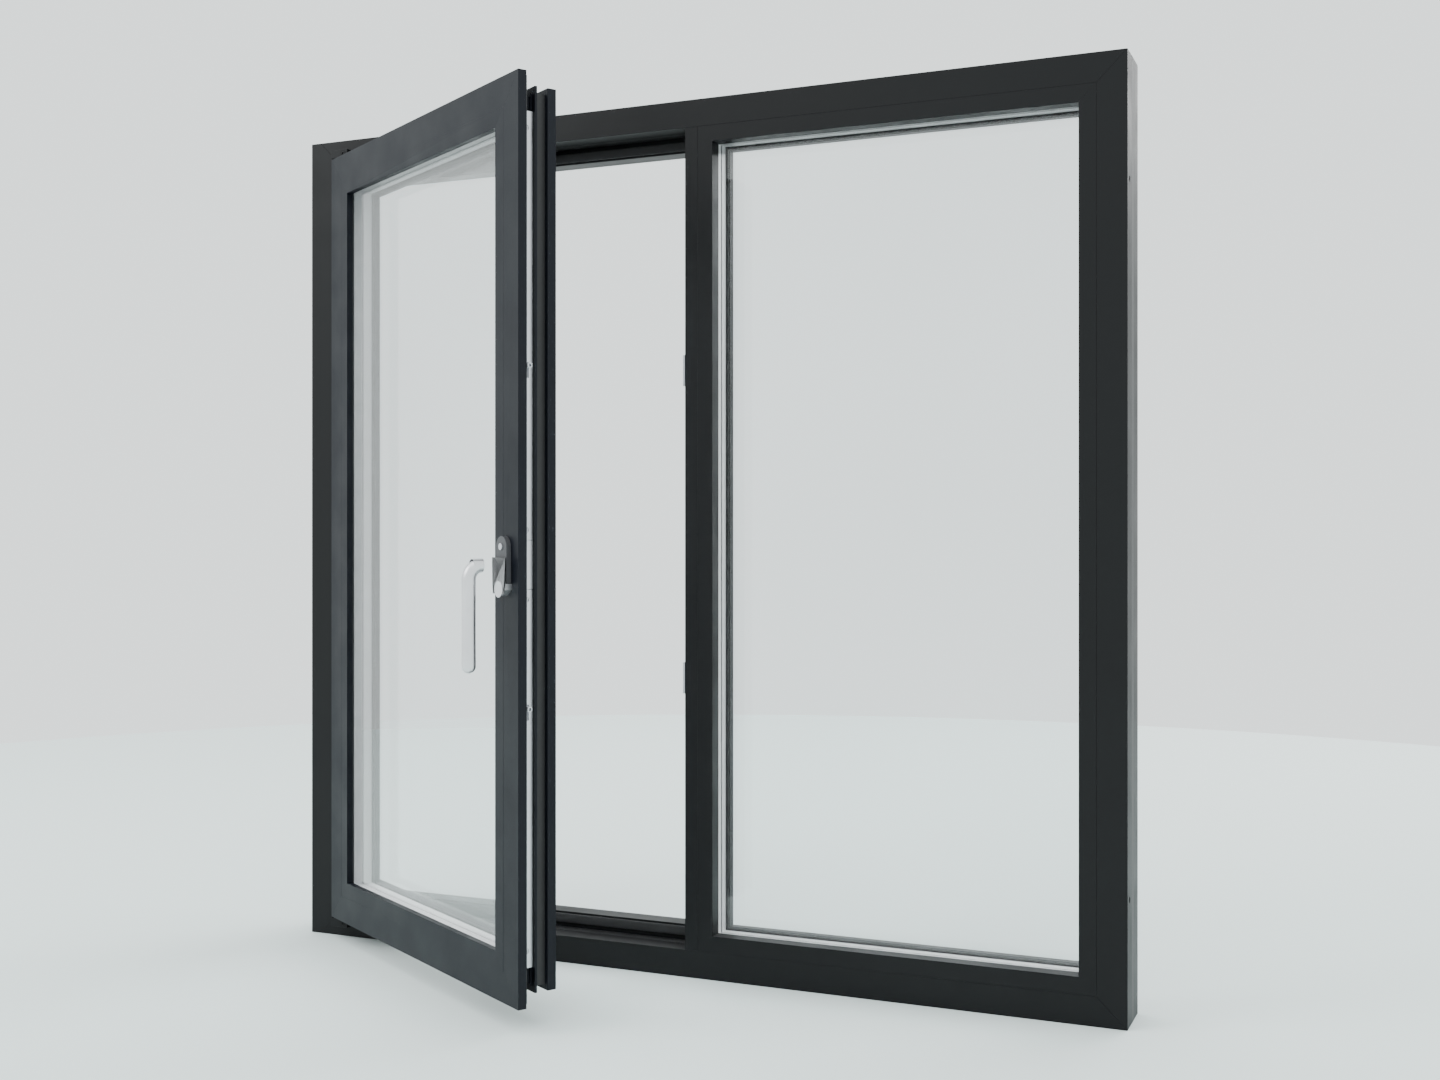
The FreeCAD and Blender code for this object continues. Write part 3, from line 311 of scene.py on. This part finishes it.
def make_materials():
    """One material for each of the record's slots."""
    coat = colours()
    MATERIALS.update({
        "frame_coating": powder_coat("frame_powder_coat", coat.frame_coat),
        "sash_coating": powder_coat("sash_powder_coat", coat.sash_coat),
        "dark_steel": powder_coat("pivot_coat", shade(coat.frame_coat, 1.1)),
        "polyamide": moulded("black_polyamide", (0.012, 0.012, 0.013), 0.55),
        "seal_rubber": rubber("seal_rubber", (0.010, 0.010, 0.011)),
        "glass": clear_glass("float_glass", coat.glass_tint),
        "spacer_metal": spacer_bar("spacer_metal"),
        "edge_sealant": rubber("edge_sealant", (0.03, 0.033, 0.036), 0.6),
        "block_plastic": moulded("block_plastic", (0.05, 0.05, 0.055)),
        "cleat_aluminium": brushed_metal("cleat_aluminium", (0.6, 0.6, 0.62), 0.45, (1, 1, 1)),
        "hardware_steel": brushed_metal("lock_steel", coat.gear_metal, 0.36, ALONG_Z),
        "satin_aluminium": brushed_metal("satin_aluminium", coat.handle_metal, 0.34, (1, 1, 0.3)),
    })


def dress(piece, slot):
    """Give a piece its only material, the one of its slot."""
    piece.data.materials.clear()
    piece.data.materials.append(MATERIALS[slot])


# ---------------------------------------------------------------- mesh helpers

def let_go():
    """Deselect everything, so that an operator acts on the new piece alone."""
    if bpy.context.object and bpy.context.object.mode != "OBJECT":
        bpy.ops.object.mode_set(mode="OBJECT")
    bpy.ops.object.select_all(action="DESELECT")


def name_new(name):
    piece = bpy.context.object
    piece.name = name
    piece.data.name = name
    return piece


def choose_faces(piece, test):
    """Select the faces whose centre and normal pass a test, in edit mode."""
    bpy.ops.mesh.select_all(action="DESELECT")
    bpy.ops.mesh.select_mode(type="FACE")
    mesh = bmesh.from_edit_mesh(piece.data)
    for face in mesh.faces:
        face.select_set(test(face.calc_center_median(), face.normal))
    mesh.select_flush_mode()
    bmesh.update_edit_mesh(piece.data)


def choose_verts(piece, test):
    bpy.ops.mesh.select_all(action="DESELECT")
    bpy.ops.mesh.select_mode(type="VERT")
    mesh = bmesh.from_edit_mesh(piece.data)
    for vert in mesh.verts:
        vert.select_set(test(vert.co))
    mesh.select_flush_mode()
    bmesh.update_edit_mesh(piece.data)


def settle(piece, matrix, body, slot, angle=35):
    """Put a finished piece in its place, with the place in its mesh, and let it ride."""
    let_go()
    piece.select_set(True)
    bpy.context.view_layer.objects.active = piece
    piece.matrix_world = matrix
    bpy.ops.object.transform_apply(location=True, rotation=True, scale=True)
    bpy.ops.object.shade_smooth_by_angle(angle=math.radians(angle))
    dress(piece, slot)
    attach(piece, body)
    return piece


def join(pieces, name):
    let_go()
    for piece in pieces:
        piece.select_set(True)
    bpy.context.view_layer.objects.active = pieces[0]
    bpy.ops.object.join()
    return name_new(name)


def pull(x, y, z, scale=1.0):
    """Extrude the selection and scale its new end about its own middle."""
    bpy.ops.mesh.extrude_region_move(TRANSFORM_OT_translate={"value": (x, y, z)})
    bpy.ops.transform.resize(value=(scale, scale, scale))


def bevel_edges(piece, width, segments=3, angle=35):
    """Round a piece's sharp edges and apply it."""
    let_go()
    piece.select_set(True)
    bpy.context.view_layer.objects.active = piece
    rounding = piece.modifiers.new("Edges", "BEVEL")
    rounding.width = width
    rounding.segments = segments
    rounding.limit_method = "ANGLE"
    rounding.angle_limit = math.radians(angle)
    bpy.ops.object.modifier_apply(modifier=rounding.name)


def obround(name, width, height, depth, rounding):
    """A plate with round ends and a rounded front edge; its back lies at y = 0."""
    let_go()
    bpy.ops.mesh.primitive_cylinder_add(vertices=96, radius=width / 2, depth=depth,
                                        location=(0, -depth / 2, 0), rotation=(math.pi / 2, 0, 0))
    bpy.ops.object.transform_apply(location=True, rotation=True, scale=True)
    piece = name_new(name)
    bpy.ops.object.mode_set(mode="EDIT")
    for sign in (1, -1):
        choose_verts(piece, lambda place: place.z * sign > 1e-5)
        bpy.ops.transform.translate(value=(0, 0, sign * (height - width) / 2))
    choose_faces(piece, lambda place, normal: normal.y < -0.9)
    bpy.ops.mesh.bevel(offset=rounding, segments=6, affect="EDGES")
    bpy.ops.object.mode_set(mode="OBJECT")
    return piece


def hex_screw(name, radius, height):
    """A screw head with a chamfered rim and a round recess; its top looks along -Y."""
    let_go()
    bpy.ops.mesh.primitive_cylinder_add(vertices=36, radius=radius, depth=height,
                                        location=(0, height / 2, 0), rotation=(math.pi / 2, 0, 0))
    bpy.ops.object.transform_apply(location=True, rotation=True, scale=True)
    piece = name_new(name)
    bpy.ops.object.mode_set(mode="EDIT")
    choose_faces(piece, lambda place, normal: normal.y < -0.9)
    bpy.ops.mesh.inset(thickness=radius * 0.14)
    bpy.ops.transform.translate(value=(0, -radius * 0.07, 0))
    bpy.ops.mesh.inset(thickness=radius * 0.34)
    bpy.ops.mesh.extrude_region_move(TRANSFORM_OT_translate={"value": (0, height * 0.45, 0)})
    bpy.ops.mesh.inset(thickness=radius * 0.1)
    bpy.ops.object.mode_set(mode="OBJECT")
    return piece


# ---------------------------------------------------------------- operators

class WINDOW_OT_coatings(bpy.types.Operator):
    """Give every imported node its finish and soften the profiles' edges"""

    bl_idname = "window.coatings"
    bl_label = "Coatings"

    def execute(self, context):
        make_materials()
        for node, piece in frame["nodes"].items():
            slot = SLOT_OF[node]
            piece.data.materials.clear()
            piece.data.materials.append(MATERIALS[slot])
            if slot in ("frame_coating", "sash_coating", "dark_steel", "hardware_steel"):
                weld = piece.modifiers.new("Weld", "WELD")
                weld.merge_threshold = WELD_DISTANCE
                rounding = piece.modifiers.new("Edges", "BEVEL")
                rounding.width = sizes().edge_radius
                rounding.segments = 2
                rounding.limit_method = "ANGLE"
                rounding.angle_limit = math.radians(SHARP_ANGLE)
                rounding.harden_normals = True
        return {"FINISHED"}


class WINDOW_OT_lever(bpy.types.Operator):
    """Model the lever: a collar, a neck, a swept elbow and a grip with a domed end"""

    bl_idname = "window.lever"
    bl_label = "Lever"

    def execute(self, context):
        low, high = islands("handle_lever", 2, SASH_TURN)[0]
        bend = sizes().grip_width
        grip = sizes().grip_width / 2
        neck = sizes().neck_width / 2
        front = SASH_TURN.inverted() @ SPINDLE
        start = high.y - front.y
        stand = low.y - front.y + grip + bend
        let_go()
        bpy.ops.mesh.primitive_circle_add(vertices=64, radius=neck, fill_type="NGON",
                                          location=(0, start, 0), rotation=(math.pi / 2, 0, 0))
        bpy.ops.object.transform_apply(location=True, rotation=True, scale=True)
        piece = name_new("lever_handle")
        bpy.ops.object.mode_set(mode="EDIT")
        bpy.ops.mesh.select_all(action="SELECT")
        travelled = self.collar()
        self.neck(stand - start - travelled, (grip / neck) ** 0.25)
        bpy.ops.mesh.spin(steps=24, angle=-math.pi / 2, center=(0, stand, -bend), axis=(1, 0, 0))
        self.grip(front.z - low.z - bend - grip)
        self.tip(grip)
        bpy.ops.mesh.select_all(action="SELECT")
        bpy.ops.mesh.remove_doubles(threshold=0.005 * MM)
        bpy.ops.mesh.normals_make_consistent(inside=False)
        bpy.ops.object.mode_set(mode="OBJECT")
        settle(piece, SASH_TURN @ Matrix.Translation(front), "handle", "satin_aluminium", 30)
        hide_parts("handle_lever")
        return {"FINISHED"}

    def collar(self):
        """The foot of the neck with a fine groove round it."""
        steps = ((-3.4 * MM, 1.0), (-0.3 * MM, 0.94), (-0.7 * MM, 1.0), (-0.3 * MM, 1 / 0.94))
        for step, scale in steps:
            pull(0, step, 0, scale)
        return sum(step for step, scale in steps)

    def neck(self, length, wider):
        for _ in range(4):
            pull(0, length / 4, 0, wider)

    def grip(self, length):
        """The straight grip, slightly waisted."""
        for waist in (0.99, 0.985, 1.0, 1.0, 1 / 0.985, 1 / 0.99):
            pull(0, 0, -length / 6, waist)

    def tip(self, radius):
        """A domed end in rings of equal angle."""
        rings = 9
        for ring in range(1, rings):
            before = math.pi / 2 * (ring - 1) / rings
            now = math.pi / 2 * ring / rings
            fall = radius * (math.sin(now) - math.sin(before))
            pull(0, 0, -fall, math.cos(now) / math.cos(before))


class WINDOW_OT_rosette(bpy.types.Operator):
    """Model the rosette cover with a soft front edge and a raised ring round the neck"""

    bl_idname = "window.rosette"
    bl_label = "Rosette"

    def execute(self, context):
        low, high = islands("rosette_cover", 2, SASH_TURN)[0]
        size = high - low
        cover = obround("rosette", size.x, size.z, size.y - 0.5 * MM, sizes().rosette_edge)
        ring = self.neck_ring(size.y)
        whole = join([cover, ring], "rosette")
        middle = (low + high) / 2
        place = SASH_TURN @ Matrix.Translation((middle.x, high.y, middle.z))
        settle(whole, place, "sash", "satin_aluminium", 40)
        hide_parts("rosette_cover")
        return {"FINISHED"}

    def neck_ring(self, depth):
        """A low ring that the neck turns in, standing a little proud of the cover."""
        radius = sizes().neck_width / 2 + 1.8 * MM
        let_go()
        bpy.ops.mesh.primitive_cylinder_add(vertices=64, radius=radius, depth=1 * MM,
                                            location=(0, -depth + 0.5 * MM, 0),
                                            rotation=(math.pi / 2, 0, 0))
        bpy.ops.object.transform_apply(location=True, rotation=True, scale=True)
        ring = name_new("neck_ring")
        bpy.ops.object.mode_set(mode="EDIT")
        choose_faces(ring, lambda place, normal: normal.y < -0.9)
        bpy.ops.mesh.inset(thickness=0.3 * MM)
        bpy.ops.mesh.inset(thickness=1.2 * MM)
        bpy.ops.mesh.extrude_region_move(TRANSFORM_OT_translate={"value": (0, 0.4 * MM, 0)})
        bpy.ops.object.mode_set(mode="OBJECT")
        bevel_edges(ring, 0.15 * MM, 2)
        return ring


class WINDOW_OT_screws(bpy.types.Operator):
    """Model the socket screws of the faceplate, the pivots and the keepers"""

    bl_idname = "window.screws"
    bl_label = "Screws"

    def execute(self, context):
        self.row("faceplate_screws", "sash", SASH_TURN, 1, "hardware_steel")
        self.row("keeper_screws", "frame", FRAME_TURN, -1, "hardware_steel")
        self.row("pivot_screws", "frame", FRAME_TURN, 0, "dark_steel")
        return {"FINISHED"}

    def row(self, node, body, turn, side, slot):
        """One head for each screw of a node; the side says which way along X they look."""
        heads = []
        for low, high in islands(node, 2, turn):
            size = high - low
            middle = (low + high) / 2
            depth = min(2.4 * MM, size.x if side else size.y)
            head = hex_screw(node, size.z / 2 * 0.98, depth)
            sunk = 0.25 * MM
            if side:
                face = high.x - sunk if side > 0 else low.x + sunk
                place = Matrix.Translation((face, middle.y, middle.z))
            else:
                place = Matrix.Translation((middle.x, low.y + sunk, middle.z))
            head.matrix_world = turn @ place @ Matrix.Rotation(side * math.pi / 2, 4, "Z")
            bpy.ops.object.transform_apply(location=True, rotation=True, scale=True)
            heads.append(head)
        whole = join(heads, node + "_heads")
        settle(whole, FRAME_TURN, body, slot, 30)
        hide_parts(node)


class WINDOW_OT_cams(bpy.types.Operator):
    """Model the locking cams with a chamfered head and an adjusting socket"""

    bl_idname = "window.cams"
    bl_label = "Locking cams"

    def execute(self, context):
        cams = []
        for low, high in islands("lock_cams", 2, SASH_TURN):
            size = high - low
            middle = (low + high) / 2
            cam = hex_screw("lock_cam", size.z / 2 - 0.1 * MM, size.x - 0.5 * MM)
            bevel_edges(cam, 0.3 * MM, 2, 60)
            place = Matrix.Translation((high.x - 0.4 * MM, middle.y, middle.z))
            cam.matrix_world = SASH_TURN @ place @ Matrix.Rotation(math.pi / 2, 4, "Z")
            bpy.ops.object.transform_apply(location=True, rotation=True, scale=True)
            cams.append(cam)
        whole = join(cams, "lock_cam_heads")
        settle(whole, FRAME_TURN, "lock", "hardware_steel", 30)
        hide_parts("lock_cams")
        return {"FINISHED"}


class WINDOW_OT_pins(bpy.types.Operator):
    """Model the pivot pins with chamfered ends and a shallow recess in the lower end"""

    bl_idname = "window.pins"
    bl_label = "Pivot pins"

    def execute(self, context):
        pins = []
        for low, high in islands("pivot_pins", 2):
            middle = (low + high) / 2
            pins.append(self.pin((high.x - low.x) / 2 - 0.02 * MM, high.z - low.z, middle))
        whole = join(pins, "pivot_pin_pair")
        settle(whole, FRAME_TURN, "frame", "hardware_steel", 30)
        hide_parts("pivot_pins")
        return {"FINISHED"}

    def pin(self, radius, length, middle):
        let_go()
        bpy.ops.mesh.primitive_cylinder_add(vertices=40, radius=radius, depth=length, location=middle)
        bpy.ops.object.transform_apply(location=True, rotation=True, scale=True)
        piece = name_new("pivot_pin")
        bpy.ops.object.mode_set(mode="EDIT")
        choose_faces(piece, lambda place, normal: abs(normal.z) > 0.9)
        bpy.ops.mesh.bevel(offset=0.5 * MM, segments=3, affect="EDGES")
        choose_faces(piece, lambda place, normal: normal.z < -0.9)
        bpy.ops.mesh.inset(thickness=radius * 0.3)
        bpy.ops.mesh.extrude_region_move(TRANSFORM_OT_translate={"value": (0, 0, 0.4 * MM)})
        bpy.ops.object.mode_set(mode="OBJECT")
        return piece


class WINDOW_OT_seals(bpy.types.Operator):
    """Model the glazing gaskets and the seals with rounded lips"""

    bl_idname = "window.seals"
    bl_label = "Seals"

    def execute(self, context):
        self.ring_of("fixed_glazing_gaskets", "frame", FRAME_TURN, 5 * MM)
        self.ring_of("sash_glazing_gaskets", "sash", SASH_TURN, 5 * MM)
        self.ring_of("centre_seal", "frame", FRAME_TURN, 12 * MM)
        self.ring_of("overlap_seal", "sash", SASH_TURN, 3 * MM)
        return {"FINISHED"}

    def ring_of(self, node, body, turn, width):
        rings = [self.ring(node, low, high, width) for low, high in islands(node, 1, turn, 8 * MM)]
        whole = join(rings, node + "_lips")
        settle(whole, turn, body, "seal_rubber", 50)
        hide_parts(node)

    def ring(self, name, low, high, width):
        """A rectangular ring: a plane set in, emptied, pulled out and rounded."""
        middle = (low + high) / 2
        size = high - low
        let_go()
        bpy.ops.mesh.primitive_plane_add(size=1, location=(middle.x, high.y, middle.z),
                                         rotation=(math.pi / 2, 0, 0))
        piece = name_new(name)
        piece.scale = (size.x, size.z, 1)
        bpy.ops.object.transform_apply(location=True, rotation=True, scale=True)
        bpy.ops.object.mode_set(mode="EDIT")
        bpy.ops.mesh.select_all(action="SELECT")
        bpy.ops.mesh.inset(thickness=width)
        bpy.ops.mesh.delete(type="FACE")
        bpy.ops.mesh.select_all(action="SELECT")
        bpy.ops.mesh.extrude_region_move(TRANSFORM_OT_translate={"value": (0, -size.y, 0)})
        bpy.ops.mesh.select_all(action="SELECT")
        bpy.ops.mesh.normals_make_consistent(inside=False)
        bpy.ops.object.mode_set(mode="OBJECT")
        bevel_edges(piece, min(width, size.y) * 0.3, 4, 60)
        return piece


class WINDOW_OT_drains(bpy.types.Operator):
    """Model the drain caps: a sloped hood with rounded corners and a slot under it"""

    bl_idname = "window.drains"
    bl_label = "Drain caps"

    def execute(self, context):
        caps = [self.cap(low, high) for low, high in islands("drain_caps", 0, FRAME_TURN, 60 * MM)]
        whole = join(caps, "drain_hoods")
        settle(whole, FRAME_TURN, "frame", SLOT_OF["drain_caps"], 35)
        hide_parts("drain_caps")
        return {"FINISHED"}

    def cap(self, low, high):
        middle = (low + high) / 2
        size = high - low
        let_go()
        bpy.ops.mesh.primitive_cube_add(size=1, location=middle)
        piece = name_new("drain_hood")
        piece.scale = size
        bpy.ops.object.transform_apply(location=True, rotation=True, scale=True)
        bpy.ops.object.mode_set(mode="EDIT")
        choose_verts(piece, lambda place: place.y > middle.y and place.z > middle.z)
        bpy.ops.transform.translate(value=(0, -size.y * 0.45, 0))
        choose_faces(piece, lambda place, normal: normal.z < -0.9)
        bpy.ops.mesh.inset(thickness=0.8 * MM)
        bpy.ops.mesh.extrude_region_move(TRANSFORM_OT_translate={"value": (0, 0, size.z * 0.6)})
        choose_faces(piece, lambda place, normal: normal.y > 0.5)
        bpy.ops.mesh.inset(thickness=2.2 * MM)
        bpy.ops.mesh.inset(thickness=0.5 * MM)
        bpy.ops.transform.translate(value=(0, -0.4 * MM, 0))
        bpy.ops.object.mode_set(mode="OBJECT")
        bevel_edges(piece, 0.35 * MM, 3, 30)
        return piece


class WINDOW_OT_stage(bpy.types.Operator):
    """Set the floor, the backdrop, the soft lights and the camera"""

    bl_idname = "window.stage"
    bl_label = "Stage"

    def execute(self, context):
        self.floor()
        self.lights()
        self.camera()
        return {"FINISHED"}

    def floor(self):
        """A round floor that sweeps up into a wall all round."""
        let_go()
        ground = CAD_BOX[0][2] - FLOOR_GAP
        bpy.ops.mesh.primitive_circle_add(vertices=96, radius=FLOOR_RADIUS, fill_type="NGON",
                                          location=(0, 0, ground))
        floor = name_new("stage_floor")
        bpy.ops.object.mode_set(mode="EDIT")
        bpy.ops.mesh.select_all(action="DESELECT")
        bpy.ops.mesh.primitive_circle_add(vertices=96, radius=FLOOR_RADIUS, fill_type="NOTHING",
                                          location=(0, 0, ground))
        steps = 16
        reach = FLOOR_RADIUS
        for step in range(1, steps + 1):
            before = math.pi / 2 * (step - 1) / steps
            now = math.pi / 2 * step / steps
            up = FLOOR_RISE * (math.cos(before) - math.cos(now))
            wider = reach + FLOOR_RISE * (math.sin(now) - math.sin(before))
            bpy.ops.mesh.extrude_region_move(TRANSFORM_OT_translate={"value": (0, 0, up)})
            bpy.ops.transform.resize(value=(wider / reach, wider / reach, 1))
            reach = wider
        bpy.ops.mesh.extrude_region_move(TRANSFORM_OT_translate={"value": (0, 0, WALL_HEIGHT)})
        bpy.ops.mesh.select_all(action="SELECT")
        bpy.ops.mesh.remove_doubles(threshold=0.001)
        bpy.ops.mesh.normals_make_consistent(inside=True)
        bpy.ops.object.mode_set(mode="OBJECT")
        bpy.ops.object.shade_smooth_by_angle(angle=math.radians(35))
        material, _, shader = new_material("stage_paint", colours().floor, 0.9)
        shader.inputs["Specular IOR Level"].default_value = 0.1
        floor.data.materials.append(material)

    def lights(self):
        """A bright even room with three large soft lamps."""
        world = bpy.data.worlds.new("studio")
        bpy.context.scene.world = world
        world.use_nodes = True
        background = world.node_tree.nodes["Background"]
        background.inputs["Color"].default_value = (0.92, 0.98, 0.98, 1)
        background.inputs["Strength"].default_value = 1.7
        self.lamp("top", (0, 0, 5.5), 6.0, 120)
        self.lamp("key", (-3.0, -2.6, 3.2), 2.6, 90)
        self.lamp("rim", (1.4, 3.2, 3.0), 2.6, 90)

    def lamp(self, name, place, size, power):
        let_go()
        bpy.ops.object.light_add(type="AREA", location=place)
        lamp = bpy.context.object
        lamp.name = name
        lamp.data.size = size
        lamp.data.energy = power
        aim = Vector((0, 0, AIM_HEIGHT)) - Vector(place)
        lamp.rotation_euler = aim.to_track_quat("-Z", "Y").to_euler()

    def camera(self):
        """Level, to the right of the window and turned back towards it."""
        left = CAD_BOX[0][0]
        data = bpy.data.cameras.new("camera")
        camera = bpy.data.objects.new("camera", data)
        bpy.context.collection.objects.link(camera)
        data.lens = CAMERA_LENS
        data.sensor_width = CAMERA_SENSOR
        data.shift_y = CAMERA_SHIFT
        room_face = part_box("sill_inner")[0][1]
        camera.location = (left + CAMERA_RIGHT, room_face - sizes().camera_distance,
                           CAMERA_HEIGHT)
        camera.rotation_euler = (math.pi / 2, 0, math.radians(CAMERA_TURN))
        bpy.context.scene.camera = camera


class WINDOW_PT_panel(bpy.types.Panel):
    """The window's pieces and finishes"""

    bl_idname = "WINDOW_PT_panel"
    bl_label = "Casement window"
    bl_space_type = "VIEW_3D"
    bl_region_type = "UI"
    bl_category = "Window"

    def draw(self, context):
        for group in (context.scene.window_sizes, context.scene.window_colours):
            for name in group.__annotations__:
                self.layout.prop(group, name)
        for operator in OPERATORS:
            self.layout.operator(operator.bl_idname)


OPERATORS = (WINDOW_OT_coatings, WINDOW_OT_lever, WINDOW_OT_rosette, WINDOW_OT_screws,
             WINDOW_OT_cams, WINDOW_OT_pins, WINDOW_OT_seals, WINDOW_OT_drains, WINDOW_OT_stage)
CLASSES = (FinishSizes, FinishColours, *OPERATORS, WINDOW_PT_panel)


def register():
    for item in CLASSES:
        bpy.utils.register_class(item)
    bpy.types.Scene.window_sizes = PointerProperty(type=FinishSizes)
    bpy.types.Scene.window_colours = PointerProperty(type=FinishColours)


def unregister():
    del bpy.types.Scene.window_colours
    del bpy.types.Scene.window_sizes
    for item in reversed(CLASSES):
        bpy.utils.unregister_class(item)


def main():
    register()
    bpy.ops.window.coatings()
    bpy.ops.window.lever()
    bpy.ops.window.rosette()
    bpy.ops.window.screws()
    bpy.ops.window.cams()
    bpy.ops.window.pins()
    bpy.ops.window.seals()
    bpy.ops.window.drains()
    bpy.ops.window.stage()


if __name__ == "__main__":
    main()
